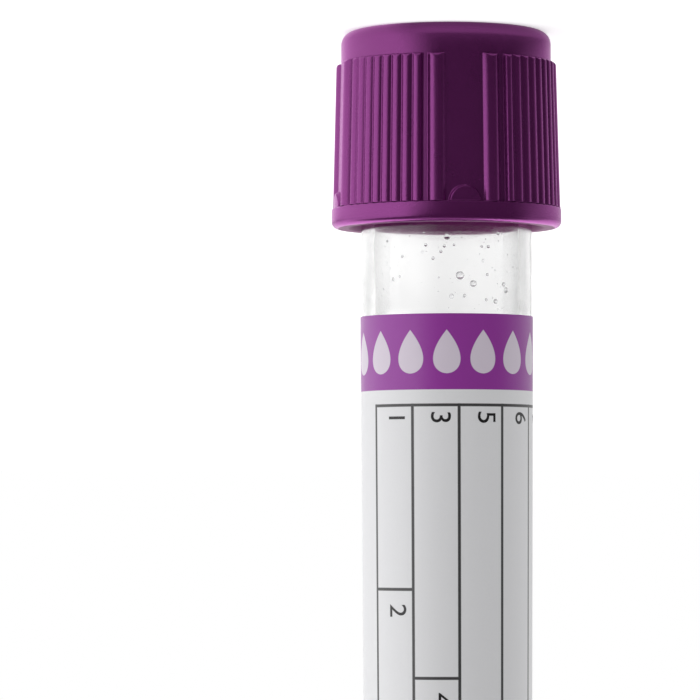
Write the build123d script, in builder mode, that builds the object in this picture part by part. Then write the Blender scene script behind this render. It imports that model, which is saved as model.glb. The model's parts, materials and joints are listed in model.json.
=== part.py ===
from build123d import *
from math import asin, cos, degrees, radians, sin, sqrt, tan
import os

# Evacuated blood collection tube, 13 x 75 mm, with a twist-off safety cap. Millimetres and degrees.
# Each piece is modelled about the tube's own axis: the round bottom is at height 0, the cap is at
# the top, and the label's form faces -Y. A tube on its side would roll, so at the end the whole tube
# is turned over to stand on the flat top of its cap: +Z up to the round bottom, the form to -Y.

FRONT = -90.0                 # direction that the label's form faces, round the axis from +X

# Tube: clear moulded plastic, slightly conical, with a round bottom
tube_length = 75.0            # bottom to rim
tube_diameter = 13.0          # outside, where the cap's skirt ends
tube_taper = 0.32             # slope of the wall, narrowing to the bottom
tube_wall = 1.0
rim_rounding = 0.25

# Thread between the neck and the cap: several steep starts, so that half a turn frees the cap
thread_starts = 4
thread_lead = 14.4            # rise in one full turn
thread_depth = 0.4
thread_ridge_width = 1.3      # at the root of a ridge, along the axis
thread_crest_width = 0.6
thread_clearance = 0.15       # crest to the opposite root
thread_root_depth = 0.2       # how far a ridge is rooted in the wall that carries it
neck_ridge_rise = 4.2         # how far a ridge climbs the neck
neck_ridge_drop = 6.6         # rim down to the lower end of a ridge's middle line
skirt_ridge_rise = 4.4
skirt_ridge_start = 1.3       # skirt's end up to the lower end of a ridge's middle line

# Cap: one moulding, with grip ribs between four smooth channels
cap_height = 15.0
skirt_reach = 9.0             # rim down to the skirt's end
skirt_wall = 0.9              # bore to the smooth band at the top
deck_thickness = 1.4
band_height = 2.4             # smooth band above the ribs
band_rounding = 1.0
flange_height = 1.5
flange_overhang = 0.07        # past the ribs' feet
flange_rounding = 0.5
skirt_chamfer = 0.35          # lead-in at the mouth of the bore
draft = 1.45                  # outward slope of the channels and ribs, towards the flange
rib_height = 0.4
fine_rib_width = 0.5
fine_rib_roundness = 0.96     # share of its width that is rounded
fine_rib_pitch = 5.83         # degrees from one fine rib to the next
fine_ribs_in_group = 8
thick_rib_width = 1.3
thick_rib_rounding = 0.22
thick_rib_angle = 14.7        # degrees from the middle of a channel
rib_end_rounding = 0.3
channels = 4
channel_turn = 9.8            # degrees from the label's middle to a channel, with the cap screwed home
nub_radius = 1.15             # half-round stop at the foot of each channel
nub_height = 0.3
nub_rounding = 0.12
snap_bead_height = 0.5        # bead under the stopper's head, which lifts the stopper with the cap
snap_bead_gap = 0.1           # bead to the head's underside

# Stopper: rubber, with a needle well on top and a hollow plug below
plug_clearance = 0.05         # sealing beads to the bore
head_clearance = 0.1          # head to the cap, all round
plug_reach = 8.2              # rim down to the plug's end
plug_waist = 0.25             # how far the plug stands in from its sealing beads
seal_bead_height = 1.2
seal_bead_drop = 2.2          # rim down to the first bead
seal_bead_spacing = 3.2
plug_end_chamfer = 0.6
well_radius = 3.2
well_depth = 1.5
well_rounding = 0.8
septum_thickness = 4.0        # rubber that the needle pierces
hollow_radius = 3.2
hollow_rounding = 1.2
head_rounding = 0.3

# Retaining ring: snapped into the cap's top opening, over the stopper's head
ring_outer_radius = 5.85
ring_inner_radius = 3.6
ring_flange_thickness = 0.8
ring_recess = 0.1             # top of the ring below the cap's top face
ring_shoulder = 0.7           # how far the flange stands out past the collar
ring_clearance = 0.05
ring_rounding = 0.15

# Label: film wrapped round the barrel, with a viewing gap at the back
label_drop = 6.77             # skirt's end down to the label's top edge
label_height = 50.0
label_thickness = 0.1
label_gap = 40.0              # degrees left bare

# Additive: dried droplets sprayed on the wall inside, (degrees from the front, skirt's end down, width)
droplet_places = [
    (10.1, 3.9, 0.62), (20.3, 4.5, 0.50), (0.4, 1.0, 0.46), (-10.1, 2.6, 0.26), (-4.2, 2.1, 0.24),
    (-1.6, 1.7, 0.24), (-15.6, 1.6, 0.26), (-34.6, 2.4, 0.24), (32.5, 1.7, 0.26), (27.1, 1.7, 0.22),
    (31.8, 3.8, 0.24), (47.0, 4.5, 0.34), (39.0, 5.8, 0.36), (30.9, 5.7, 0.24), (13.6, 5.4, 0.22),
    (5.6, 1.6, 0.20), (41.4, 0.7, 0.24), (-49.0, 1.2, 0.20), (-37.0, 3.9, 0.20), (65.0, 3.2, 0.24),
    (118.0, 4.6, 0.50), (147.0, 2.2, 0.30), (176.0, 4.9, 0.42), (201.0, 1.5, 0.26), (233.0, 3.7, 0.34),
]
droplet_height = 0.3          # share of a droplet's width that stands off the wall

# Heights and radii that follow from the sizes above
slope = tan(radians(tube_taper))
skirt_end = tube_length - skirt_reach
cap_top = skirt_end + cap_height
deck_underside = cap_top - deck_thickness
rib_foot = skirt_end + flange_height
rib_top = cap_top - band_height


def barrel_radius(height):
    """Outside radius of the conical barrel at a height above the bottom."""
    return tube_diameter / 2 + (height - skirt_end) * slope


def bore_radius(height):
    """Inside radius of the barrel at a height above the bottom."""
    return barrel_radius(height) - tube_wall / cos(radians(tube_taper))


def around(degrees_round, radius=0.0, height=0.0):
    """Point at an angle, radius and height about the tube's axis."""
    return (radius * cos(radians(degrees_round)), radius * sin(radians(degrees_round)), height)


def axial_plane(degrees_round):
    """Plane through the tube's axis: its x points out at that angle and its y points up."""
    return Plane(origin=(0, 0, 0), x_dir=around(degrees_round, 1), z_dir=around(degrees_round - 90, 1))


def plug_radius(height):
    """Outside radius of the plug's sealing beads."""
    return bore_radius(height) - plug_clearance


def waist_radius(height):
    """Outside radius of the plug between its beads."""
    return plug_radius(height) - plug_waist


neck_radius = barrel_radius(tube_length)
bottom_radius = barrel_radius(0) / (1 / cos(radians(tube_taper)) - slope)
skirt_bore = neck_radius + thread_depth + thread_clearance
band_radius = skirt_bore + skirt_wall
floor_growth = (rib_top - rib_foot) * tan(radians(draft))
flange_radius = band_radius + floor_growth + rib_height + flange_overhang
skirt_ridge_turn = 360 * (skirt_ridge_start - (skirt_reach - neck_ridge_drop)) / thread_lead
skirt_ridge_turn += 180 / thread_starts
snap_bead_top = tube_length - snap_bead_gap
snap_bead_radius = neck_radius + thread_clearance
head_top = deck_underside - head_clearance
head_radius = skirt_bore - head_clearance
well_floor = head_top - well_depth
hollow_roof = well_floor - septum_thickness
plug_end = tube_length - plug_reach
seal_beads = [tube_length - seal_bead_drop, tube_length - seal_bead_drop - seal_bead_spacing]
ring_top = cap_top - ring_recess
ring_seat = ring_top - ring_flange_thickness
collar_radius = ring_outer_radius - ring_shoulder
collar_end = head_top + ring_clearance

# Space inside the tube
with BuildPart() as cavity:
    with BuildSketch(Plane.XZ):
        with BuildLine():
            base = CenterArc((0, bottom_radius), bottom_radius - tube_wall, -90, 90 - tube_taper)
            side = Line(base @ 1, (bore_radius(tube_length), tube_length))
            Polyline(side @ 1, (0, tube_length), base @ 0)
        make_face()
    revolve(axis=Axis.Z)


def thread_ridge(root_radius, crest_radius, rise):
    """One start of the thread, climbing from height 0: a trapezium swept up a helix, from root to crest."""
    path_radius = (root_radius + crest_radius) / 2
    outward = 1 if crest_radius > root_radius else -1
    root = abs(crest_radius - root_radius) / 2
    with BuildPart() as ridge:
        with BuildLine():
            helix = Helix(pitch=thread_lead, height=rise, radius=path_radius)
        with BuildSketch(Plane(origin=helix @ 0, x_dir=(1, 0, 0), z_dir=helix % 0)):
            with BuildLine():
                Polyline(
                    (-outward * root, -thread_ridge_width / 2),
                    (outward * root, -thread_crest_width / 2),
                    (outward * root, thread_crest_width / 2),
                    (-outward * root, thread_ridge_width / 2),
                    close=True,
                )
            make_face()
        sweep(path=helix, is_frenet=True)
    return ridge.part


# Tube
neck_ridge = thread_ridge(neck_radius - thread_root_depth, neck_radius + thread_depth, neck_ridge_rise)
with BuildPart() as tube:
    with BuildSketch(Plane.XZ):
        with BuildLine():
            base = CenterArc((0, bottom_radius), bottom_radius, -90, 90 - tube_taper)
            side = Line(base @ 1, (neck_radius, tube_length))
            Polyline(side @ 1, (0, tube_length), base @ 0)
        make_face()
    revolve(axis=Axis.Z)
    add(cavity.part, mode=Mode.SUBTRACT)
    fillet(tube.edges().filter_by(GeomType.CIRCLE).group_by(Axis.Z)[-1], rim_rounding)
    with Locations((0, 0, tube_length - neck_ridge_drop)):
        with PolarLocations(0, thread_starts):
            add(neck_ridge)

# Cap: the ribs and stops that are set round it, each made at angle 0
lean_out = Vector(sin(radians(draft)), 0, -cos(radians(draft)))
rib_length = (rib_top - rib_foot) / cos(radians(draft))
rib_root = band_radius - skirt_wall / 2
rib_crest = band_radius + rib_height
floor_radius = band_radius + floor_growth


def grip_rib(width, rounding):
    """Grip rib from the band down to the flange: a prism that leans out with the channel floors."""
    with BuildPart() as rib:
        with BuildSketch(Plane.XY.offset(rib_top)) as section:
            with Locations(((rib_root + rib_crest) / 2, 0)):
                Rectangle(rib_crest - rib_root, width)
            fillet(section.vertices().group_by(Axis.X)[-1], rounding)
        extrude(amount=rib_length, dir=lean_out)
    return rib.part


thick_rib = grip_rib(thick_rib_width, thick_rib_rounding)
fine_rib = grip_rib(fine_rib_width, fine_rib_width * fine_rib_roundness / 2)

with BuildPart() as nub:
    with BuildSketch(Plane(origin=(rib_root, 0, rib_foot), x_dir=(0, 1, 0), z_dir=(1, 0, 0))):
        Circle(nub_radius)
    extrude(amount=floor_radius + nub_height - rib_root)
    fillet(nub.edges().group_by(Axis.X)[-1], nub_rounding)

grips = []
for channel in range(channels):
    channel_middle = FRONT + channel_turn + channel * 360 / channels
    group_middle = channel_middle + 180 / channels
    grips.append(nub.part.rotate(Axis.Z, channel_middle))
    for side in (-1, 1):
        grips.append(thick_rib.rotate(Axis.Z, channel_middle + side * thick_rib_angle))
    for rib in range(fine_ribs_in_group):
        step = rib - (fine_ribs_in_group - 1) / 2
        grips.append(fine_rib.rotate(Axis.Z, group_middle + step * fine_rib_pitch))

# Cap
skirt_ridge = thread_ridge(skirt_bore + thread_root_depth, skirt_bore - thread_depth, skirt_ridge_rise)
with BuildPart() as cap:
    with BuildSketch(Plane.XZ):
        Polygon(
            (0, skirt_end),
            (flange_radius, skirt_end),
            (flange_radius, rib_foot),
            (floor_radius, rib_foot),
            (band_radius, rib_top),
            (band_radius, cap_top),
            (0, cap_top),
            align=None,
        )
    revolve(axis=Axis.Z)
    rims = cap.edges().filter_by(GeomType.CIRCLE).sort_by(Axis.Z)
    fillet(rims[-1], band_rounding)
    fillet(rims[0], flange_rounding)
    add(grips)
    # upper ends of the ribs, rounded off
    with BuildSketch(Plane.XZ):
        with BuildLine():
            outside = rib_crest + rib_height
            bend_middle = (rib_crest - rib_end_rounding, rib_top - rib_end_rounding)
            bend = CenterArc(bend_middle, rib_end_rounding, 0, 90)
            Polyline(bend @ 1, (outside, rib_top), (outside, bend_middle[1]), bend @ 0)
        make_face()
    revolve(axis=Axis.Z, mode=Mode.SUBTRACT)
    # inside: skirt bore with its snap bead, room for the stopper's head, and the ring's seat
    with BuildSketch(Plane.XZ):
        Polygon(
            (0, skirt_end),
            (skirt_bore + skirt_chamfer, skirt_end),
            (skirt_bore, skirt_end + skirt_chamfer),
            (skirt_bore, snap_bead_top - snap_bead_height),
            (snap_bead_radius, snap_bead_top - snap_bead_height / 2),
            (snap_bead_radius, snap_bead_top),
            (skirt_bore, snap_bead_top),
            (skirt_bore, deck_underside),
            (collar_radius + ring_clearance, deck_underside),
            (collar_radius + ring_clearance, ring_seat),
            (ring_outer_radius + ring_clearance, ring_seat),
            (ring_outer_radius + ring_clearance, cap_top),
            (0, cap_top),
            align=None,
        )
    revolve(axis=Axis.Z, mode=Mode.SUBTRACT)
    with Locations((0, 0, skirt_end + skirt_ridge_start)):
        with PolarLocations(0, thread_starts, start_angle=skirt_ridge_turn):
            add(skirt_ridge)

# Stopper
with BuildPart() as stopper:
    with BuildSketch(Plane.XZ):
        with BuildLine():
            top = Polyline(
                (0, well_floor),
                (well_radius, well_floor),
                (well_radius, head_top),
                (head_radius, head_top),
                (head_radius, tube_length),
                (waist_radius(tube_length), tube_length),
            )
            at = top @ 1
            for bead in seal_beads:
                above = bead + seal_bead_height / 2
                below = bead - seal_bead_height / 2
                waist = Line(at, (waist_radius(above), above))
                bulge = ThreePointArc(waist @ 1, (plug_radius(bead), bead), (waist_radius(below), below))
                at = bulge @ 1
            Polyline(
                at,
                (waist_radius(plug_end + plug_end_chamfer), plug_end + plug_end_chamfer),
                (waist_radius(plug_end) - plug_end_chamfer, plug_end),
                (hollow_radius, plug_end),
                (hollow_radius, hollow_roof),
                (0, hollow_roof),
                (0, well_floor),
            )
        make_face()
    revolve(axis=Axis.Z)
    rims = stopper.edges().filter_by(GeomType.CIRCLE)
    fillet(rims.filter_by_position(Axis.Z, hollow_roof, hollow_roof), hollow_rounding)
    fillet(rims.filter_by_position(Axis.Z, well_floor, well_floor), well_rounding)
    fillet(rims.filter_by_position(Axis.Z, head_top, head_top), head_rounding)

# Retaining ring
with BuildPart() as ring:
    with BuildSketch(Plane.XZ):
        Polygon(
            (ring_inner_radius, collar_end),
            (collar_radius, collar_end),
            (collar_radius, ring_seat),
            (ring_outer_radius, ring_seat),
            (ring_outer_radius, ring_top),
            (ring_inner_radius, ring_top),
            align=None,
        )
    revolve(axis=Axis.Z)
    fillet(ring.edges().filter_by(GeomType.CIRCLE).group_by(Axis.Z)[-1], ring_rounding)

# Label
label_top = skirt_end - label_drop
label_bottom = label_top - label_height
with BuildPart() as label:
    with BuildSketch(axial_plane(FRONT + 180 + label_gap / 2)):
        Polygon(
            (barrel_radius(label_bottom), label_bottom),
            (barrel_radius(label_bottom) + label_thickness, label_bottom),
            (barrel_radius(label_top) + label_thickness, label_top),
            (barrel_radius(label_top), label_top),
            align=None,
        )
    revolve(axis=Axis.Z, revolution_arc=360 - label_gap)

# Additive droplets: caps of spheres, each with its flat base's edge against the inner wall
with BuildPart() as additive_droplets:
    for turn, drop, width in droplet_places:
        height = width * droplet_height
        radius = (width**2 / 4 + height**2) / (2 * height)
        level = skirt_end - drop
        foot = sqrt(bore_radius(level - width / 2) ** 2 - width**2 / 4)
        inward = around(FRONT + turn + 180, 1)
        with Locations(Plane(origin=around(FRONT + turn, foot, level), z_dir=inward)):
            edge = degrees(asin(1 - height / radius))
            Sphere(radius, arc_size1=edge, align=(Align.CENTER, Align.CENTER, Align.MIN))

# The tube stands on the flat top of its cap, with the label's form to the front
head_down = Plane(origin=(0, 0, cap_top), x_dir=(-1, 0, 0), z_dir=(0, 0, -1)).location
pieces = {
    "tube": tube,
    "cap": cap,
    "stopper": stopper,
    "ring": ring,
    "label": label,
    "additive_droplets": additive_droplets,
}

os.makedirs("parts", exist_ok=True)
for name, piece in pieces.items():
    stood = piece.part.moved(head_down)
    stood.label = name
    export_step(stood, f"parts/{name}.step")
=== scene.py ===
import bpy
import bmesh
import json
import random
from math import atan2, cos, degrees, pi, radians, sin, sqrt, tan
from mathutils import Matrix, Vector


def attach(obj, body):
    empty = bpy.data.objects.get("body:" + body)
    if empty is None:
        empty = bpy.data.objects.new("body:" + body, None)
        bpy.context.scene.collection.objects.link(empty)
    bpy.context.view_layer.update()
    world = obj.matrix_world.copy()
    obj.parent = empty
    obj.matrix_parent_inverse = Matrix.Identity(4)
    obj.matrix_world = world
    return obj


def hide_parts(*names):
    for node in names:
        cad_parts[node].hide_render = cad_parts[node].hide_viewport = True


print("frame: loading the packed tube")
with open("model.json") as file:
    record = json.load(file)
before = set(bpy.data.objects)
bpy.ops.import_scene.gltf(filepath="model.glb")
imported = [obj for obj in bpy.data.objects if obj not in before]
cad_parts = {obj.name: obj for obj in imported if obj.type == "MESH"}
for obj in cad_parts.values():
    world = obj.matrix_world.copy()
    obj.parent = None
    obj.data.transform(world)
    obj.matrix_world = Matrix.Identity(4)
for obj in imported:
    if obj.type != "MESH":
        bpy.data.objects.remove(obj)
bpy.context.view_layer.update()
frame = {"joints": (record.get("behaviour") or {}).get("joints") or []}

# The tube's own space: millimetres, round bottom at 0, cap up +Z, label's form facing -Y.
# The part stands on its cap. The cap's joint gives its place: it sits in the middle of the rim.
mm = 0.001
tubeSize = {
    "length": 75.0,
    "diameter": 13.0,     # at the skirt's end
    "skirtEnd": 66.0,
    "taper": 0.32,        # degrees
    "wall": 1.0,
    "rimRounding": 0.25,
    "columns": 256,       # steps in a full turn
}
slope = tan(radians(tubeSize["taper"]))
unscrew = next(joint for joint in frame["joints"] if joint["name"] == "unscrew")
tubeAxis = -Vector(unscrew["axis"]).normalized()
tubeBottom = Vector(unscrew["pos_m"]) - tubeAxis * tubeSize["length"] * mm
rightSide = Vector((-1, 0, 0))
farSide = tubeAxis.cross(rightSide)
turnToBench = Matrix((rightSide, farSide, tubeAxis)).transposed()
tubeToBench = Matrix.Translation(tubeBottom) @ turnToBench.to_4x4() @ Matrix.Scale(mm, 4)


def barrelRadius(height):
    return tubeSize["diameter"] / 2 + (height - tubeSize["skirtEnd"]) * slope


print("camera")
cameraPlace = {
    "distance": 321.3,    # from the tube's axis
    "height": 44.06,      # up the axis
    "lens": 217.3,
    "sensor": 36,
    "tilt": 2.263,        # degrees, up towards the cap
    "yaw": 1.313,         # degrees, to the left
    "roll": -0.12,        # degrees
}


def addCamera(place):
    data = bpy.data.cameras.new("camera")
    data.lens = place["lens"]
    data.sensor_width = place["sensor"]
    data.clip_start = 0.01
    data.clip_end = 20
    tilt = radians(place["tilt"])
    yaw = radians(place["yaw"])
    look = turnToBench @ Vector((-sin(yaw) * cos(tilt), cos(yaw) * cos(tilt), sin(tilt)))
    right = look.cross(tubeAxis).normalized()
    up = right.cross(look)
    roll = Matrix.Rotation(radians(place["roll"]), 3, "Z")
    camera = bpy.data.objects.new("camera", data)
    camera.matrix_world = (Matrix((right, up, -look)).transposed() @ roll).to_4x4()
    camera.location = tubeToBench @ Vector((0, -place["distance"], place["height"]))
    bpy.context.scene.collection.objects.link(camera)
    bpy.context.scene.camera = camera


addCamera(cameraPlace)


# Shader maths: a Wire is one socket, and Python operators on it add Math nodes
class Wire:
    def __init__(self, finish, socket):
        self.finish = finish
        self.socket = socket

    def maths(self, operation, *others, clamp=False):
        settings = {"operation": operation, "use_clamp": clamp}
        values = dict(enumerate((self, *others)))
        return self.finish.node("Math", settings, values)

    def __add__(self, other):
        return self.maths("ADD", other)

    def __sub__(self, other):
        return self.maths("SUBTRACT", other)

    def __mul__(self, other):
        return self.maths("MULTIPLY", other)

    def __truediv__(self, other):
        return self.maths("DIVIDE", other)

    def __radd__(self, other):
        return self + other

    def __rmul__(self, other):
        return self * other

    def __rsub__(self, other):
        return self * -1 + other

    def __neg__(self):
        return self * -1

    def __abs__(self):
        return self.maths("ABSOLUTE")

    def power(self, exponent):
        return self.maths("POWER", exponent)

    def clamped(self):
        return self.maths("ADD", 0, clamp=True)

    def wrapped(self, low, high):
        return self.maths("WRAP", high, low)

    def highest(self, other):
        return self.maths("MAXIMUM", other)

    # a change from 0 to 1 round a level, as wide as soft
    def above(self, level, soft):
        return ((self - level) / soft + 0.5).clamped()

    def below(self, level, soft):
        return 1 - self.above(level, soft)

    def within(self, low, high, soft):
        return self.above(low, soft) * self.below(high, soft)


# One material or world: each node is made, set and linked by one method
class Finish:
    def __init__(self, owner):
        self.owner = owner
        owner.use_nodes = True
        self.tree = owner.node_tree
        self.tree.nodes.clear()

    def node(self, kind, settings=None, values=None, out=0):
        made = self.tree.nodes.new("ShaderNode" + kind)
        for key, value in (settings or {}).items():
            setattr(made, key, value)
        for name, value in (values or {}).items():
            if isinstance(value, Wire):
                self.tree.links.new(value.socket, made.inputs[name])
            else:
                made.inputs[name].default_value = value
        return Wire(self, made.outputs[out]) if made.outputs else None

    def blend(self, share, first, second):
        # a Mix node's colours are its inputs 6 and 7, and output 2
        settings = {"data_type": "RGBA"}
        return self.node("Mix", settings, {0: share, 6: first, 7: second}, out=2)

    def tubeSpace(self):
        # x to the right, y away and z up the tube, in millimetres
        turnBack = turnToBench.transposed()
        settings = {"vector_type": "POINT"}
        values = {
            "Vector": self.node("TexCoord", out="Object"),
            "Location": -(turnBack @ tubeBottom) / mm,
            "Rotation": turnBack.to_euler(),
            "Scale": (1 / mm, 1 / mm, 1 / mm),
        }
        return self.node("Mapping", settings, values)

    def axes(self, place):
        split = self.node("SeparateXYZ", values={0: place}).socket.node
        return [Wire(self, side) for side in split.outputs]

    def noise(self, place, scale, detail=2.0, roughness=0.5):
        values = {"Vector": place, "Scale": scale, "Detail": detail, "Roughness": roughness}
        return self.node("TexNoise", values=values)

    def bump(self, height, distance):
        values = {"Height": height, "Distance": distance, "Strength": 1.0}
        return self.node("Bump", values=values)

    def rim(self, blend=0.5):
        # 0 where a surface faces the camera, 1 where one looks along it
        return self.node("LayerWeight", values={"Blend": blend}, out="Facing")

    def rays(self, kind):
        return self.node("LightPath", out=f"Is {kind} Ray")

    def surface(self, shader, output="OutputMaterial"):
        self.node(output, values={0: shader})
        return self.owner

    def principled(self, values):
        return self.surface(self.node("BsdfPrincipled", values=values))


def rgb(red, green, blue):
    # a screen colour, 0 to 255, as the linear colour that shaders take, by the sRGB curve
    def linear(level):
        level = level / 255
        return level / 12.92 if level <= 0.04045 else ((level + 0.055) / 1.055) ** 2.4

    return (linear(red), linear(green), linear(blue), 1)


def darker(colour, share):
    return tuple(channel * share for channel in colour[:3]) + (1,)


print("materials")
capColour = {
    "sheen": (1.0, 0.47, 0.95, 1),    # the colour of its highlights
    "refraction": 1.75,               # its index, which sets how strongly it mirrors
    "outside": {
        "colour": rgb(114, 34, 108),
        "gloss": 0.58,                # how much of it shines in its own colour
        "roughness": 0.24,
        "shine": 1.0,
        "glow": 0.0,
    },
    # the lining: a darker copy of the same plastic, painted as the mouth looks in shade, with a
    # painted glow
    "inside": {
        "colour": rgb(96, 14, 80),
        "gloss": 0.0,
        "roughness": 0.55,
        "shine": 0.15,
        "glow": 0.15,                 # painted glow: light the lining gives out by itself, standing in for light showing through the skirt
    },
}


def capFinish(name, look):
    finish = Finish(bpy.data.materials.new(name))
    place = finish.tubeSpace()
    cloud = finish.noise(place, scale=0.35, detail=3)
    grain = finish.noise(place, scale=9.0, detail=3, roughness=0.6)
    return finish.principled({
        "Base Color": finish.blend(cloud, darker(look["colour"], 0.86), look["colour"]),
        "Roughness": cloud * 0.08 + grain * 0.05 + (look["roughness"] - 0.06),
        "Metallic": look["gloss"],
        # painted glow: the look's own colour given out as light (none on the outside)
        "Emission Color": look["colour"],
        "Emission Strength": look["glow"],
        "IOR": capColour["refraction"],
        "Specular IOR Level": look["shine"],
        "Specular Tint": capColour["sheen"],
        "Normal": finish.bump(grain, distance=0.000012),
    })


clearColour = {
    "wall": (0.975, 0.975, 0.975, 1),
    "edge": (0.85, 0.85, 0.85, 1),     # painted shade: the wall darker where one looks along it, for the grey at the tube's edges
    "edgeShadeFrom": (0.6, 0.24),           # the middle of that change, and how wide it is
    "solid": 0.88,                     # the rest lets light straight through
    "roughness": 0.015,
    "refraction": 1.5,
}


def clearFinish():
    finish = Finish(bpy.data.materials.new("clear_plastic"))
    place = finish.tubeSpace()
    ripple = finish.noise(place, scale=0.25, detail=2)
    cloud = finish.noise(place, scale=0.5, detail=2)
    face = finish.blend(cloud, darker(clearColour["wall"], 0.985), clearColour["wall"])
    # painted shade: the wall's colour darkens where one looks along it
    edge = finish.rim().above(*clearColour["edgeShadeFrom"])
    return finish.principled({
        "Base Color": finish.blend(edge, face, clearColour["edge"]),
        "Roughness": clearColour["roughness"],
        "Transmission Weight": 1.0,
        "IOR": clearColour["refraction"],
        "Alpha": clearColour["solid"],
        "Normal": finish.bump(ripple, distance=0.00002),
    })


rubberColour = {
    "dark": rgb(106, 106, 110),
    "light": rgb(126, 126, 129),
    "paintedCapReflection": rgb(128, 40, 112),     # painted reflection: the cap's colour painted on the plug's end, where the cap's light would fall on it
    "paintedCapReflectionEnd": (67.8, 1.2),        # up the tube, and how wide the change is
    "roughness": 0.6,
}


def rubberFinish():
    finish = Finish(bpy.data.materials.new("stopper_rubber"))
    place = finish.tubeSpace()
    grain = finish.noise(place, scale=6.0, detail=4, roughness=0.6)
    grey = finish.blend(grain, rubberColour["dark"], rubberColour["light"])
    height = finish.axes(place)[2]
    # painted reflection: the plug's end takes the cap's purple
    plugEnd = height.below(*rubberColour["paintedCapReflectionEnd"])
    return finish.principled({
        "Base Color": finish.blend(plugEnd, grey, rubberColour["paintedCapReflection"]),
        "Roughness": grain * 0.15 + rubberColour["roughness"],
        "Normal": finish.bump(grain, distance=0.00003),
    })


ringColour = {"dark": rgb(20, 20, 22), "light": rgb(30, 30, 33), "roughness": 0.36}


def ringFinish():
    finish = Finish(bpy.data.materials.new("ring_plastic"))
    grain = finish.noise(finish.tubeSpace(), scale=7.0, detail=3)
    return finish.principled({
        "Base Color": finish.blend(grain, ringColour["dark"], ringColour["light"]),
        "Roughness": grain * 0.12 + ringColour["roughness"],
        "Normal": finish.bump(grain, distance=0.000015),
    })


dropletColour = {
    "middle": (0.92, 0.92, 0.93, 1),
    # painted shade: a droplet is dark where one looks along its surface, for the dark ring refraction
    # gives
    "rim": (0.16, 0.16, 0.18, 1),
    "rimShadeBlend": 0.35,
    "roughness": 0.02,
    "refraction": 1.42,
}


def dropletFinish():
    finish = Finish(bpy.data.materials.new("additive"))
    # painted shade: darker towards the droplet's rim as seen
    rim = finish.rim(dropletColour["rimShadeBlend"])
    return finish.principled({
        "Base Color": finish.blend(rim, dropletColour["middle"], dropletColour["rim"]),
        "Roughness": dropletColour["roughness"],
        "Transmission Weight": 1.0,
        "IOR": dropletColour["refraction"],
    })


labelSize = {
    "drop": 6.77,         # below the cap's skirt
    "height": 50.0,
    "thickness": 0.1,
    "gap": 40.0,          # degrees left open at the back
    "lift": 0.005,        # off the tube's wall
    "rings": 25,
    "columns": 192,
}
labelTop = tubeSize["skirtEnd"] - labelSize["drop"]
labelPrint = {
    "bandHeight": 5.68,
    "frameTop": 1.15,         # below the band
    "lineWidth": 0.23,
    "firstLine": -54.6,       # degrees round from the front
    "columnWidth": 31.3,
    "columns": 5,
    "crossLines": [(0, 13.75), (1, 20.35)],   # column, distance below the frame's top
    "frameBottom": 12.2,      # up the tube
    "dropTurn": 24.615,       # degrees from one drop to the next
    "dropHeight": 3.3,
    "dropWidth": 2.1,
    "dropFoot": 54.75,
    "dropInk": rgb(214, 203, 217),
    "ink": rgb(22, 19, 21),
    "paleInk": rgb(40, 37, 40),
    "paper": rgb(230, 230, 232),
    "band": rgb(150, 46, 158),
    "softness": 0.05,         # millimetres from bare paper to full ink
    "roughness": 0.36,
    "inkRoughness": 0.35,
    "shine": 0.55,
    "showsBehind": 0.16,      # how much of the print shows on the paper's back
}
bandEnd = labelTop - labelPrint["bandHeight"]
frameTop = bandEnd - labelPrint["frameTop"]


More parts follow.
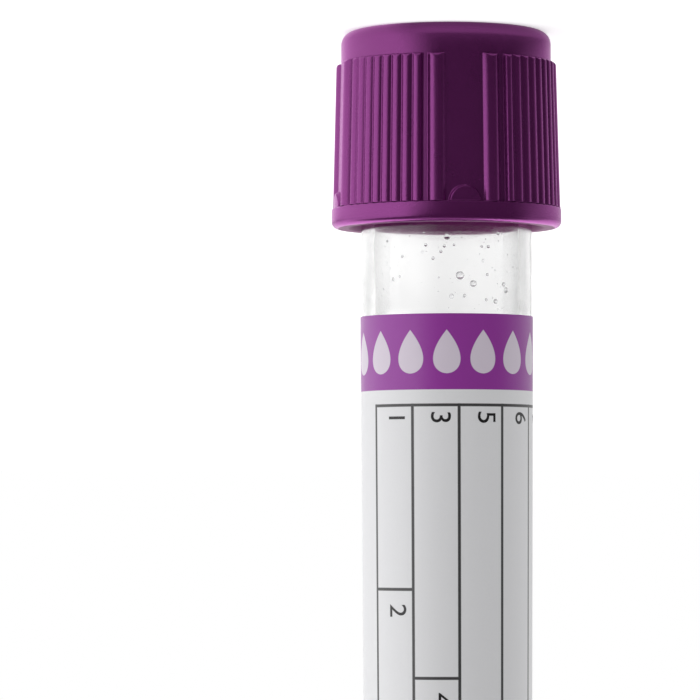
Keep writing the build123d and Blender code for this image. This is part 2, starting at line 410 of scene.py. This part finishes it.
def labelFinish():
    finish = Finish(bpy.data.materials.new("label_paper"))
    place = finish.tubeSpace()
    x, y, z = finish.axes(place)
    angle = x.maths("ARCTAN2", -y) * (180 / pi)
    millimetre = 180 / pi / (tubeSize["diameter"] / 2)     # degrees round for one millimetre
    edge = labelPrint["softness"]
    half = labelPrint["lineWidth"] / 2
    firstLine, frameBottom = labelPrint["firstLine"], labelPrint["frameBottom"]
    lastLine = firstLine + labelPrint["columns"] * labelPrint["columnWidth"]

    # the form: a frame, lines between its columns and a few across them
    band = z.above(bandEnd, edge)
    inFrame = z.within(frameBottom - half, frameTop + half, edge)
    inColumns = angle.within(firstLine - half * millimetre, lastLine + half * millimetre,
                             edge * millimetre)
    columnPlace = (angle - firstLine) / labelPrint["columnWidth"]
    offLine = abs((columnPlace + 0.5).wrapped(0, 1) - 0.5)
    lines = (offLine * (labelPrint["columnWidth"] / millimetre)).below(half, edge)
    for level in (frameTop, frameBottom):
        lines = lines.highest(abs(z - level).below(half, edge))
    for column, below in labelPrint["crossLines"]:
        inside = columnPlace.within(column, column + 1, 0.01)
        lines = lines.highest(abs(z - (frameTop - below)).below(half, edge) * inside)
    lines = lines * inFrame * inColumns

    # the print is on the outer face, and shows through the paper a little
    outerFace = barrelRadius(0) + labelSize["thickness"] / 2
    fromAxis = (x * x + y * y).power(0.5) - z * slope
    outside = fromAxis.above(outerFace, 0.02)
    shows = outside * (1 - labelPrint["showsBehind"]) + labelPrint["showsBehind"]

    # a row of drops on the band, fullest a third of the way up; 1.3 makes that the full width
    offDrop = abs((angle / labelPrint["dropTurn"] + 0.5).wrapped(0, 1) - 0.5)
    offDrop = offDrop * (labelPrint["dropTurn"] / millimetre)
    share = ((z - labelPrint["dropFoot"]) / labelPrint["dropHeight"]).clamped()
    dropSide = share.power(0.5) * (1 - share) * (labelPrint["dropWidth"] * 1.3)
    drops = (dropSide - offDrop).above(edge * 0.6, edge)

    fibre = finish.noise(place, scale=5.0, detail=5, roughness=0.65)
    mottle = finish.noise(place, scale=14.0, detail=3, roughness=0.7)
    paper = finish.blend(fibre, darker(labelPrint["paper"], 0.96), labelPrint["paper"])
    bandColour = finish.blend(mottle, darker(labelPrint["band"], 0.9), labelPrint["band"])
    colour = finish.blend(band, paper, bandColour)
    colour = finish.blend(drops, colour, labelPrint["dropInk"])
    colour = finish.blend(lines * (mottle * 0.12 + 0.88), colour, labelPrint["ink"])
    relief = fibre * 0.6 + (band + lines).clamped() * 0.4
    return finish.principled({
        "Base Color": finish.blend(shows, paper, colour),
        "Roughness": fibre * 0.1 + labelPrint["roughness"] - band * 0.06,
        "Specular IOR Level": labelPrint["shine"],
        "Normal": finish.bump(relief, distance=0.000008),
    })


def inkFinish():
    finish = Finish(bpy.data.materials.new("printed_ink"))
    mottle = finish.noise(finish.tubeSpace(), scale=14.0, detail=3, roughness=0.7)
    return finish.principled({
        "Base Color": finish.blend(mottle, labelPrint["ink"], labelPrint["paleInk"]),
        "Roughness": mottle * 0.1 + labelPrint["inkRoughness"],
    })


finishes = {
    "printed_ink": inkFinish(),
    "cap_plastic": capFinish("cap_plastic", capColour["outside"]),
    "cap_inside_painted_shade_and_glow": capFinish("cap_inside_painted_shade_and_glow", capColour["inside"]),
    "clear_plastic": clearFinish(),
    "stopper_rubber": rubberFinish(),
    "ring_plastic": ringFinish(),
    "label_paper": labelFinish(),
    "additive": dropletFinish(),
}
mergeWithin = 0.0005     # millimetres, for the seams that turned copies leave


# Lathe work: a section is a list of (radius, height, corner rounding)
def roundedSection(corners, steps=6):
    points = []
    for index, (radius, height, rounding) in enumerate(corners):
        here = Vector((radius, height))
        if not rounding:
            points.append(here)
            continue
        toLast = (Vector(corners[index - 1][:2]) - here).normalized()
        toNext = (Vector(corners[(index + 1) % len(corners)][:2]) - here).normalized()
        half = toLast.angle(toNext) / 2
        middle = here + (toLast + toNext).normalized() * rounding / sin(half)
        start = (here + toLast * rounding / tan(half) - middle).normalized()
        end = (here + toNext * rounding / tan(half) - middle).normalized()
        for step in range(steps + 1):
            points.append(middle + start.slerp(end, step / steps) * rounding)
    return points


def sectionIn(mesh, points, closed, turn=0.0):
    place = Matrix.Rotation(turn, 3, "Z")
    verts = [mesh.verts.new(place @ Vector((radius, 0, height))) for radius, height in points]
    edges = [mesh.edges.new(pair) for pair in zip(verts, verts[1:])]
    if closed:
        edges.append(mesh.edges.new((verts[-1], verts[0])))
    return verts, edges


def lathe(mesh, points, columns, closed=True):
    # a full turn: one quarter is spun, then copied round
    verts, edges = sectionIn(mesh, points, closed)
    bmesh.ops.spin(mesh, geom=verts + edges, cent=(0, 0, 0), axis=(0, 0, 1), angle=pi / 2,
                   steps=columns // 4)
    quarter = mesh.verts[:] + mesh.edges[:] + mesh.faces[:]
    for turn in (1, 2, 3):
        copied = bmesh.ops.duplicate(mesh, geom=quarter)["geom"]
        verts = [item for item in copied if isinstance(item, bmesh.types.BMVert)]
        bmesh.ops.rotate(mesh, verts=verts, matrix=Matrix.Rotation(turn * pi / 2, 3, "Z"))
    bmesh.ops.remove_doubles(mesh, verts=mesh.verts, dist=mergeWithin)


def finishPiece(mesh, name, body, slot, nodes=(), sharp=35, look=None):
    # edges that turn by more than sharp, in degrees, stay crisp
    bmesh.ops.recalc_face_normals(mesh, faces=mesh.faces)
    mesh.transform(tubeToBench)
    for face in mesh.faces:
        face.smooth = True
    for edge in mesh.edges:
        edge.smooth = len(edge.link_faces) < 2 or edge.calc_face_angle(0) < radians(sharp)
    data = bpy.data.meshes.new(name)
    mesh.to_mesh(data)
    mesh.free()
    piece = bpy.data.objects.new(name, data)
    bpy.context.scene.collection.objects.link(piece)
    data.materials.append(finishes[look or slot])
    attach(piece, body)
    if nodes:
        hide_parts(*nodes)
    return piece


def smoothStep(value):
    value = min(max(value, 0.0), 1.0)
    return value * value * (3 - 2 * value)


print("tube")
thread = {
    "starts": 4,
    "lead": 14.4,
    "depth": 0.4,
    "rootWidth": 1.3,
    "crestWidth": 0.6,
    "neckDrop": 6.6,      # rim down to a ridge's lower end
    "neckRise": 4.2,
    "skirtStart": 1.3,    # skirt's end up to a ridge's lower end
    "skirtRise": 4.4,
    "clearance": 0.15,
    "runOut": 0.15,       # half the length over which a ridge's ends fade
}


def boreRadius(height):
    return barrelRadius(height) - tubeSize["wall"] / cos(radians(tubeSize["taper"]))


# the round bottom meets the tapered barrel without a corner
bottomRadius = barrelRadius(0) / (1 / cos(radians(tubeSize["taper"])) - slope)
neckRadius = barrelRadius(tubeSize["length"])
skirtBore = neckRadius + thread["depth"] + thread["clearance"]


def ridgeHeight(angle, height, low, rise, turned):
    # how far a thread ridge stands up at a place: starts are evenly spaced round the neck
    pitch = thread["lead"] / thread["starts"]
    climb = thread["lead"] * ((angle - turned) / (2 * pi))
    nearest = (height - low - climb + pitch / 2) % pitch - pitch / 2
    middle = height - nearest - low
    end = thread["runOut"]
    inside = smoothStep((middle + end) / (2 * end)) * smoothStep((rise - middle + end) / (2 * end))
    flank = (thread["rootWidth"] - thread["crestWidth"]) / 2
    return thread["depth"] * inside * smoothStep((thread["rootWidth"] / 2 - abs(nearest)) / flank)


def arcPoints(radius, middle, start, end, steps=36):
    # an arc round a point on the axis, from one angle to another
    points = []
    for step in range(steps + 1):
        angle = radians(start + (end - start) * step / steps)
        points.append(Vector((radius * cos(angle), middle + radius * sin(angle))))
    return points


def buildTube():
    length = tubeSize["length"]
    taper = tubeSize["taper"]
    rounding = tubeSize["rimRounding"]
    belowRim = length - 1
    neckLow = length - thread["neckDrop"] - 1     # a little below the lowest ridge
    neckStep = 0.1        # rings this close together carry the thread
    outer = arcPoints(bottomRadius, bottomRadius, -90, -taper)
    outer[0].x = 0        # just on the axis, so that the bottom closes
    # rings from above the round bottom up to the neck, then up the neck to the rim
    levels = [neckLow * share / 24 for share in range(3, 24)]
    levels += [neckLow + neckStep * step for step in range(int((length - neckLow - 0.4) / neckStep))]
    outer += [Vector((barrelRadius(height), height)) for height in levels]
    rim = roundedSection([
        (barrelRadius(belowRim), belowRim, 0),
        (neckRadius, length, rounding),
        (boreRadius(length), length, rounding),
        (boreRadius(belowRim), belowRim, 0),
    ], steps=5)[1:-1]
    # the bore is plain, so a few rings do
    inner = [Vector((boreRadius(height), height)) for height in (70, 60, 50, 40, 30, 20, 12)]
    inner += arcPoints(bottomRadius - tubeSize["wall"], bottomRadius, -taper, -90)
    inner[-1].x = 0
    mesh = bmesh.new()
    lathe(mesh, outer + rim + inner, tubeSize["columns"], closed=False)
    for vert in mesh.verts:
        radius = vert.co.xy.length
        height = vert.co.z
        if height > neckLow and radius > neckRadius - 0.2:
            angle = atan2(vert.co.y, vert.co.x)
            grown = ridgeHeight(angle, height, length - thread["neckDrop"], thread["neckRise"], 0)
            vert.co.xy *= (radius + grown) / radius
    clear = finishPiece(mesh, "clear_tube", "tube", "clear_plastic", ["tube"])
    clear.visible_shadow = False     # light reaches the label's back and the droplets


buildTube()

print("cap")
capSize = {
    "height": 15.0,
    "bandRadius": 8.0,
    "bandHeight": 2.4,
    "topRounding": 1.0,
    "flangeHeight": 1.5,
    "flangeRadius": 8.75,
    "flangeRounding": 0.5,
    "draft": 1.45,            # degrees
    "ribHeight": 0.4,
    "ribEnd": 0.3,            # rounding of the ribs' upper ends
    "fineRibWidth": 0.76,
    "fineRibSquare": 2.2,     # a section of 2 is round, and more is squarer
    "grooveFloor": 0.22,      # grooves between fine ribs stand off the channels by this
    "fineRibPitch": 5.83,     # degrees
    "fineRibs": 8,
    "thickRibWidth": 1.34,
    "thickRibSquare": 2.6,
    "thickRibAngle": 14.7,    # degrees from a channel's middle
    "channels": 4,
    "channelTurn": 9.8,       # degrees from the front to the nearest channel's middle
    "nubRadius": 1.15,
    "nubHeight": 0.3,
    "nubEdge": 0.16,
    "deck": 1.4,
    "wall": 0.45,             # bore out to where shell and lining meet inside the wall
    "beadRadius": 0.15,       # the snap bead's clearance round the neck
    "beadHeight": 0.25,
    "ringSeatRadius": 5.9,
    "ringSeatDepth": 0.9,
    "lipWidth": 0.5,          # of the lining, round the ring's seat
    "lipDepth": 1.2,
    "openingRadius": 5.2,
    "columns": 1440,
    "innerColumns": 288,
}


def ribShape(distance, width, height, squareness):
    # height of a rounded rib, at a distance from its middle line
    share = min(abs(distance) / (width / 2), 1)
    return height * (1 - share ** squareness)


def gripHeight(angle, height):
    # how far the cap's ribs and stops stand off its channels, at an angle from a channel's middle
    ribFoot = tubeSize["skirtEnd"] + capSize["flangeHeight"]
    ribTop = tubeSize["skirtEnd"] + capSize["height"] - capSize["bandHeight"]
    ribHeight = capSize["ribHeight"]
    floor = capSize["grooveFloor"]
    pitch = capSize["fineRibPitch"]
    quarter = 360 / capSize["channels"]
    turn = (angle + quarter / 2) % quarter - quarter / 2
    radius = capSize["bandRadius"] + ribHeight / 2
    grown = 0.0
    for side in (-1, 1):
        offset = radians(turn - side * capSize["thickRibAngle"]) * radius
        rib = ribShape(offset, capSize["thickRibWidth"], ribHeight, capSize["thickRibSquare"])
        grown = max(grown, rib)
    fromGroup = (turn + quarter) % quarter - quarter / 2
    span = (capSize["fineRibs"] - 1) / 2
    nearest = round(fromGroup / pitch - 0.5) + 0.5
    if abs(nearest) <= span:
        offset = radians(fromGroup - nearest * pitch) * radius
        tall = ribHeight - floor
        rib = ribShape(offset, capSize["fineRibWidth"], tall, capSize["fineRibSquare"])
        # the floor between them ends under the last rib
        inGroup = smoothStep((span + 0.45 - abs(fromGroup / pitch)) / 0.25)
        grown = max(grown, floor * inGroup + rib)
    fromTop = ribTop - height
    rounding = capSize["ribEnd"]
    if fromTop <= 0:
        grown = 0.0
    elif fromTop < rounding:
        ending = sqrt(rounding ** 2 - (rounding - fromTop) ** 2)
        grown = min(grown, ribHeight - rounding + ending)
    # a round stop at the foot of each channel
    fromNub = Vector((radians(turn) * radius, height - ribFoot)).length
    inNub = smoothStep((capSize["nubRadius"] - fromNub) / capSize["nubEdge"] + 0.5)
    return max(grown, capSize["nubHeight"] * inNub)


def buildCap():
    low = tubeSize["skirtEnd"]
    top = low + capSize["height"]
    foot = low + capSize["flangeHeight"]
    ribTop = top - capSize["bandHeight"]
    band = capSize["bandRadius"]
    draftSlope = tan(radians(capSize["draft"]))
    floorRadius = band + (ribTop - foot) * draftSlope
    midWall = skirtBore + capSize["wall"]
    seatRadius = capSize["ringSeatRadius"]
    lipRadius = seatRadius + capSize["lipWidth"]
    lipLow = top - capSize["lipDepth"]
    hairline = 0.004      # rings this close keep the band smooth above the ribs' ends

    # the shell starts under the flange and ends inside the wall, where the lining takes over
    flange = roundedSection([
        (capSize["flangeRadius"] - capSize["flangeRounding"], low, 0),
        (capSize["flangeRadius"], low, capSize["flangeRounding"]),
        (capSize["flangeRadius"] - 0.01, foot, 0.14),
        (floorRadius, foot, 0.1),
        (band, ribTop, 0),
    ])[:-1]
    # rings lie close together round the stops and where the ribs end
    levels = [foot + 0.12 + 0.09 * step for step in range(14)]
    levels += [foot + 2.5, foot + 5, foot + 8, ribTop - 2 * capSize["ribEnd"]]
    levels += [ribTop - capSize["ribEnd"] * (1 - step / 7) for step in range(7)]
    levels += [ribTop - hairline]
    side = [Vector((floorRadius - (level - foot) * draftSlope, level)) for level in levels]
    crown = roundedSection([
        (band, ribTop + hairline, 0),
        (band, ribTop + 10 * hairline, 0),
        (band, top, capSize["topRounding"]),
        (lipRadius, top, 0),
        (lipRadius, lipLow, 0),
        (midWall - 0.3, lipLow, 0),
        (midWall, lipLow - 0.5, 0),
    ], steps=8)
    mesh = bmesh.new()
    lathe(mesh, flange + side + crown, capSize["columns"])
    channelAngle = -90 + capSize["channelTurn"]
    for vert in mesh.verts:
        radius = vert.co.xy.length
        if foot + 0.005 < vert.co.z < ribTop and radius > band - 0.05:
            turn = degrees(atan2(vert.co.y, vert.co.x)) - channelAngle
            vert.co.xy *= (radius + gripHeight(turn, vert.co.z)) / radius
    finishPiece(mesh, "cap_shell", "cap", "cap_plastic", ["cap"], sharp=60)

    # inside: bore with its thread and snap bead, room for the stopper's head, the ring's seat
    beadTop = tubeSize["length"] - 0.1
    beadRadius = neckRadius + capSize["beadRadius"]
    seat = top - capSize["ringSeatDepth"]
    deck = top - capSize["deck"]
    leadIn = 0.35
    boreStep = 0.1        # rings this close together carry the thread
    bore = roundedSection([
        (capSize["flangeRadius"] - capSize["flangeRounding"], low, 0),
        (skirtBore + leadIn, low, 0.08),
        (skirtBore, low + leadIn, 0),
    ], steps=4)
    bore += [Vector((skirtBore, low + leadIn + boreStep * step)) for step in range(1, 69)]
    bore += roundedSection([
        (skirtBore, beadTop - 2 * capSize["beadHeight"], 0),
        (beadRadius, beadTop - capSize["beadHeight"], 0.06),
        (beadRadius, beadTop, 0.06),
        (skirtBore, beadTop, 0),
        (skirtBore, deck, 0.1),
        (capSize["openingRadius"], deck, 0),
        (capSize["openingRadius"], seat, 0),
        (seatRadius, seat, 0),
        (seatRadius, top, 0.12),
        (lipRadius, top, 0),
        (lipRadius, lipLow, 0),
        (midWall, lipLow - 0.5, 0),
    ], steps=4)
    mesh = bmesh.new()
    lathe(mesh, bore, capSize["innerColumns"])
    # the skirt's ridges run midway between the neck's
    ridgeLow = low + thread["skirtStart"]
    aboveNeckRidges = ridgeLow - (tubeSize["length"] - thread["neckDrop"])
    skirtTurn = 2 * pi * aboveNeckRidges / thread["lead"] + pi / thread["starts"]
    threadEnd = low + 7.6     # below the snap bead
    for vert in mesh.verts:
        radius = vert.co.xy.length
        height = vert.co.z
        if low + 0.4 < height < threadEnd and radius < skirtBore + 0.1:
            angle = atan2(vert.co.y, vert.co.x)
            grown = ridgeHeight(angle, height, ridgeLow, thread["skirtRise"], skirtTurn)
            vert.co.xy *= (radius - grown) / radius
    finishPiece(mesh, "cap_lining", "cap", "cap_plastic", ["cap"], sharp=50, look="cap_inside_painted_shade_and_glow")


buildCap()

print("ring and stopper")
ringSize = {
    "outer": 5.85,
    "inner": 3.6,
    "collar": 5.15,
    "top": 80.9,          # this and the next two are up the tube
    "seat": 80.1,
    "end": 79.55,
    "columns": 192,
}
stopperSize = {
    "headRadius": 7.0,
    "wellRadius": 3.2,
    "hollowRadius": 3.2,
    "headTop": 79.5,          # this and the next four are places up the tube
    "wellFloor": 78.0,
    "hollowRoof": 74.0,
    "beads": [72.8, 69.6],
    "plugEnd": 66.8,
    "beadHeight": 1.2,
    "waist": 0.25,            # how far the plug draws in beside its beads
    "clearance": 0.05,
    "columns": 192,
}


def buildRing():
    section = roundedSection([
        (ringSize["inner"], ringSize["end"], 0.06),
        (ringSize["collar"], ringSize["end"], 0.06),
        (ringSize["collar"], ringSize["seat"], 0),
        (ringSize["outer"], ringSize["seat"], 0.05),
        (ringSize["outer"], ringSize["top"], 0.14),
        (ringSize["inner"], ringSize["top"], 0.3),
    ])
    mesh = bmesh.new()
    lathe(mesh, section, ringSize["columns"])
    finishPiece(mesh, "retaining_ring", "cap", "ring_plastic", ["ring"])


def buildStopper():
    size = stopperSize
    waist = size["waist"]
    rim = tubeSize["length"]

    def plug(height, inset):
        return boreRadius(height) - size["clearance"] - inset

    section = roundedSection([
        (0, size["wellFloor"], 0),
        (size["wellRadius"], size["wellFloor"], 0.8),
        (size["wellRadius"], size["headTop"], 0.25),
        (size["headRadius"], size["headTop"], 0.3),
        (size["headRadius"], rim, 0.1),
        (plug(rim, waist), rim, 0),
    ])
    steps = 6     # in half a bead
    for bead in size["beads"]:
        for step in range(-steps, steps + 1):
            level = bead - step / steps * size["beadHeight"] / 2
            swell = sqrt(1 - (step / steps) ** 2)
            section.append(Vector((plug(level, waist * (1 - swell)), level)))
    belowBeads = size["beads"][-1] - 1
    section += roundedSection([
        (plug(belowBeads, waist), belowBeads, 0),
        (plug(size["plugEnd"], waist), size["plugEnd"], 0.5),
        (size["hollowRadius"], size["plugEnd"], 0.2),
        (size["hollowRadius"], size["hollowRoof"], 1.2),
        (0, size["hollowRoof"], 0),
    ])
    mesh = bmesh.new()
    lathe(mesh, section, size["columns"], closed=False)
    finishPiece(mesh, "rubber_stopper", "stopper", "stopper_rubber", ["stopper"])


buildRing()
buildStopper()

print("label")


def buildLabel():
    low = labelTop - labelSize["height"]
    rings = labelSize["rings"]
    levels = [low + (labelTop - low) * step / rings for step in range(rings + 1)]
    section = [Vector((barrelRadius(level) + labelSize["thickness"], level)) for level in levels]
    levels.reverse()
    section += [Vector((barrelRadius(level) + labelSize["lift"], level)) for level in levels]
    mesh = bmesh.new()
    start = radians(90 + labelSize["gap"] / 2)
    verts, edges = sectionIn(mesh, section, closed=True, turn=start)
    face = mesh.faces.new(verts)
    bmesh.ops.spin(mesh, geom=verts + edges + [face], cent=(0, 0, 0), axis=(0, 0, 1),
                   angle=radians(360 - labelSize["gap"]), steps=labelSize["columns"])
    bmesh.ops.remove_doubles(mesh, verts=mesh.verts, dist=mergeWithin)
    finishPiece(mesh, "form_label", "tube", "label_paper", ["label"])


buildLabel()

print("field numbers")
fieldNumbers = {
    "height": 1.5,
    "digitShare": 0.7,        # a digit's height as a share of the font's size
    "bands": 10,              # a digit is cut this fine, so that it bends round the tube
    "film": 0.012,            # the ink's thickness
    "places": [(0, 0), (0, 14.4), (1, 0), (1, 21.0), (2, 0), (3, 0), (4, 0)],   # column, drop
    "inset": (0.4, 0.62),     # from the frame's top, and across the column
}


def addNumber(mesh, number, turn, level):
    # a printed number, read down the tube, wrapped round the label
    text = bpy.data.curves.new("number", "FONT")
    text.body = str(number)
    text.size = fieldNumbers["height"] / fieldNumbers["digitShare"]
    holder = bpy.data.objects.new("number", text)
    flat = bpy.data.meshes.new_from_object(holder)
    digit = bmesh.new()
    digit.from_mesh(flat)
    bmesh.ops.remove_doubles(digit, verts=digit.verts, dist=0.001)
    for cut in range(1, fieldNumbers["bands"] + 2):
        geometry = digit.verts[:] + digit.edges[:] + digit.faces[:]
        place = (0, cut * fieldNumbers["height"] / fieldNumbers["bands"], 0)
        bmesh.ops.bisect_plane(digit, geom=geometry, plane_co=place, plane_no=(0, 1, 0))
    bmesh.ops.solidify(digit, geom=digit.faces[:], thickness=fieldNumbers["film"])
    for vert in digit.verts:
        along, across, lift = vert.co
        height = level - along
        radius = barrelRadius(height) + labelSize["thickness"] + abs(lift)
        angle = radians(turn - 90) + across / radius
        vert.co = (radius * cos(angle), radius * sin(angle), height)
    digit.to_mesh(flat)
    digit.free()
    mesh.from_mesh(flat)
    bpy.data.objects.remove(holder)
    bpy.data.curves.remove(text)
    bpy.data.meshes.remove(flat)


def buildNumbers():
    below, across = fieldNumbers["inset"]
    labelRadius = tubeSize["diameter"] / 2 + labelSize["thickness"]
    halfHeight = degrees(fieldNumbers["height"] / 2 / labelRadius)
    mesh = bmesh.new()
    for number, (column, drop) in enumerate(fieldNumbers["places"], 1):
        turn = labelPrint["firstLine"] + (column + across) * labelPrint["columnWidth"]
        addNumber(mesh, number, turn - halfHeight, frameTop - drop - below)
    finishPiece(mesh, "form_numbers", "tube", "label_paper", look="printed_ink")


buildNumbers()

print("droplets")
dropletSize = {
    "stand": 0.3,         # off the wall, as a share of a droplet's width
    "sides": 20,
    "mistSeed": 11,
    "mistCount": 110,
    "mistWidth": (0.06, 0.16),
    "mistDrop": (0.2, 6.9),     # below the skirt's end
    "mistSides": 8,
}
dropletPlaces = [      # degrees from the front, drop below the skirt's end, width
    (10.1, 3.9, 0.62), (20.3, 4.5, 0.50), (0.4, 1.0, 0.46), (-10.1, 2.6, 0.26), (-4.2, 2.1, 0.24),
    (-1.6, 1.7, 0.24), (-15.6, 1.6, 0.26), (-34.6, 2.4, 0.24), (32.5, 1.7, 0.26), (27.1, 1.7, 0.22),
    (31.8, 3.8, 0.24), (47.0, 4.5, 0.34), (39.0, 5.8, 0.36), (30.9, 5.7, 0.24), (13.6, 5.4, 0.22),
    (5.6, 1.6, 0.20), (41.4, 0.7, 0.24), (-49.0, 1.2, 0.20), (-37.0, 3.9, 0.20), (65.0, 3.2, 0.24),
    (118.0, 4.6, 0.50), (147.0, 2.2, 0.30), (176.0, 4.9, 0.42), (201.0, 1.5, 0.26), (233.0, 3.7, 0.34),
]


def addDroplet(mesh, turn, drop, width, sides):
    # a ball, sunk into the tube's inner wall and cut off there
    stand = width * dropletSize["stand"]
    radius = (width ** 2 / 4 + stand ** 2) / (2 * stand)
    level = tubeSize["skirtEnd"] - drop
    angle = radians(turn - 90)
    wall = boreRadius(level) - 0.01
    made = bmesh.ops.create_uvsphere(mesh, u_segments=sides, v_segments=sides, radius=radius)
    inward = Matrix.Rotation(radians(-90), 4, "Y")
    along = Matrix.Translation((wall - stand + radius, 0, level))
    place = Matrix.Rotation(angle, 4, "Z") @ along @ inward
    bmesh.ops.transform(mesh, matrix=place, verts=made["verts"])
    geometry = made["verts"] + list({edge for vert in made["verts"] for edge in vert.link_edges})
    geometry += list({face for vert in made["verts"] for face in vert.link_faces})
    outward = Vector((cos(angle), sin(angle), 0))
    onWall = outward * wall + Vector((0, 0, level))
    cut = bmesh.ops.bisect_plane(mesh, geom=geometry, plane_co=onWall, plane_no=outward,
                                 clear_outer=True)
    rim = [item for item in cut["geom_cut"] if isinstance(item, bmesh.types.BMEdge)]
    bmesh.ops.edgenet_fill(mesh, edges=rim)


def buildDroplets():
    mesh = bmesh.new()
    for turn, drop, width in dropletPlaces:
        addDroplet(mesh, turn, drop, width, dropletSize["sides"])
    finishPiece(mesh, "additive_drops", "tube", "additive", ["additive_droplets"])

    # the mist between them, most of it near the finest
    mist = random.Random(dropletSize["mistSeed"])
    finest, widest = dropletSize["mistWidth"]
    mesh = bmesh.new()
    for count in range(dropletSize["mistCount"]):
        width = finest + (widest - finest) * mist.random() ** 2
        turn = mist.uniform(-180, 180)
        drop = mist.uniform(*dropletSize["mistDrop"])
        addDroplet(mesh, turn, drop, width, dropletSize["mistSides"])
    finishPiece(mesh, "additive_mist", "tube", "additive")


buildDroplets()

print("bench, lights and world")
lighting = {     # places and sizes in metres
    "key": {"place": (0.36, -0.06, 0.12), "size": (0.80, 0.23), "radiance": 1.45},
    "fill": {"place": (-0.38, 0.14, 0.12), "size": (0.36, 0.23), "radiance": 0.6},
    "overhead": {
        "place": (0.02, 0.04, 0.46),
        "size": (0.5, 0.4),
        "radiance": 0.8,
        "inGlass": False,
    },
    "aim": (0, 0, 0.04),
    "backdrop": (0.55, 0.92),      # how squarely behind the tube it starts, and is full white
    "backdropRise": 0.6,           # how far it leans over the tube
    "backdropHigh": 2.6,           # how much brighter it is overhead
    "backdropInGlass": (0.78, 0.99, 0.96),     # start, full, and how white, through the tube
    "roomShade": 0.50,             # what the room lends to matt surfaces
    "roomGloss": 0.03,             # and to glossy ones
    "roomGlass": 0.82,             # and through the tube, away from the camera
    "frontGlass": 0.7,             # the same, on the camera's side
    "frontEdge": (-0.45, 0.1),     # where the one becomes the other
}
floorLook = {
    "size": 3.0,
    "colour": 0.9,
    "lift": 0.6,                  # added white, as the camera sees it
    "liftInGlass": (0.35, 0.50),  # straight behind the tube, and to each side of that
    "liftElsewhere": 0.08,        # in glass, on the camera's side
    "liftInGloss": 0.85,          # on the key's side and behind
    "fillShare": 0.62,            # of that, on the fill's side
    "liftAtFoot": 0.3,            # in gloss, close round the cap's foot
    "shadeInGloss": 0.9,          # how dark it looks in gloss elsewhere
    # each is the middle of a change and how wide it is, in degrees round from the front
    "keySide": (24, 28),
    "fillSide": (-96, 50),
    "glassSide": (156, 18),
    "straightBehind": (173, 8),
    "atFoot": (0.0115, 0.004),    # but this one is in metres from the middle
}


def addLight(name, light):
    data = bpy.data.lights.new(name, "AREA")
    data.shape = "RECTANGLE"
    data.size, data.size_y = light["size"]
    data.energy = light["radiance"] * pi * data.size * data.size_y
    lamp = bpy.data.objects.new(name, data)
    lamp.location = light["place"]
    lamp.visible_transmission = light.get("inGlass", True)
    aim = Vector(lighting["aim"]) - lamp.location
    lamp.rotation_euler = aim.to_track_quat("-Z", "Y").to_euler()
    bpy.context.scene.collection.objects.link(lamp)


def addFloor():
    finish = Finish(bpy.data.materials.new("bench"))
    along, away = finish.axes(finish.node("TexCoord", out="Object"))[:2]
    turn = along.maths("ARCTAN2", -away) * (180 / pi)
    fromMiddle = (along * along + away * away).power(0.5)
    glass = finish.rays("Transmission")
    gloss = finish.rays("Glossy") * (1 - glass)
    fillSide = turn.below(*floorLook["fillSide"]) * floorLook["fillShare"]
    lit = turn.above(*floorLook["keySide"]).highest(fillSide)
    atFoot = fromMiddle.below(*floorLook["atFoot"])
    shade = 1 - gloss * (1 - lit) * (1 - atFoot) * floorLook["shadeInGloss"]
    matt = finish.node("BsdfDiffuse", values={"Color": shade * floorLook["colour"]})

    # the white it adds by itself differs for the camera, for glass and for gloss
    behind, beside = floorLook["liftInGlass"]
    inGlass = abs(turn).above(*floorLook["straightBehind"]) * (behind - beside) + beside
    inGlass = inGlass * abs(turn).above(*floorLook["glassSide"])
    inGloss = (lit * floorLook["liftInGloss"]).highest(atFoot * floorLook["liftAtFoot"])
    lift = finish.rays("Camera") * floorLook["lift"]
    lift = lift + glass * inGlass.highest(floorLook["liftElsewhere"]) + gloss * inGloss
    glow = finish.node("Emission", values={"Strength": lift})
    both = finish.node("AddShader", values={0: matt, 1: glow})

    mesh = bmesh.new()
    bmesh.ops.create_grid(mesh, x_segments=1, y_segments=1, size=floorLook["size"])
    data = bpy.data.meshes.new("bench")
    mesh.to_mesh(data)
    mesh.free()
    data.materials.append(finish.surface(both))
    floor = bpy.data.objects.new("bench", data)
    bpy.context.scene.collection.objects.link(floor)


def addWorld():
    world = bpy.data.worlds.new("studio")
    bpy.context.scene.world = world
    finish = Finish(world)
    away, up = finish.axes(finish.node("TexCoord"))[1:]
    glass = finish.rays("Transmission")
    gloss = finish.rays("Glossy") * (1 - glass)

    def rise(value, low, high):
        settings = {"interpolation_type": "SMOOTHSTEP"}
        values = {"Value": value, "From Min": low, "From Max": high}
        return finish.node("MapRange", settings, values)

    leaning = away + up.highest(0) * lighting["backdropRise"]
    brighter = up.highest(0) * lighting["backdropHigh"] + 1
    backdrop = rise(leaning, *lighting["backdrop"]) * brighter
    inGloss = backdrop.highest(lighting["roomGloss"])
    start, full, white = lighting["backdropInGlass"]
    sides = rise(away, *lighting["frontEdge"]) * (lighting["roomGlass"] - lighting["frontGlass"])
    inGlass = (rise(away, start, full) * white).highest(sides + lighting["frontGlass"])
    matt = (1 - gloss) * (1 - glass) * lighting["roomShade"]
    level = finish.rays("Camera").highest(gloss * inGloss).highest(glass * inGlass).highest(matt)
    sky = finish.node("Background", values={"Color": (1, 1, 1, 1), "Strength": level})
    finish.surface(sky, "OutputWorld")


addLight("key", lighting["key"])
addLight("fill", lighting["fill"])
addLight("overhead", lighting["overhead"])
addFloor()
addWorld()
bpy.context.scene.view_settings.view_transform = "Standard"
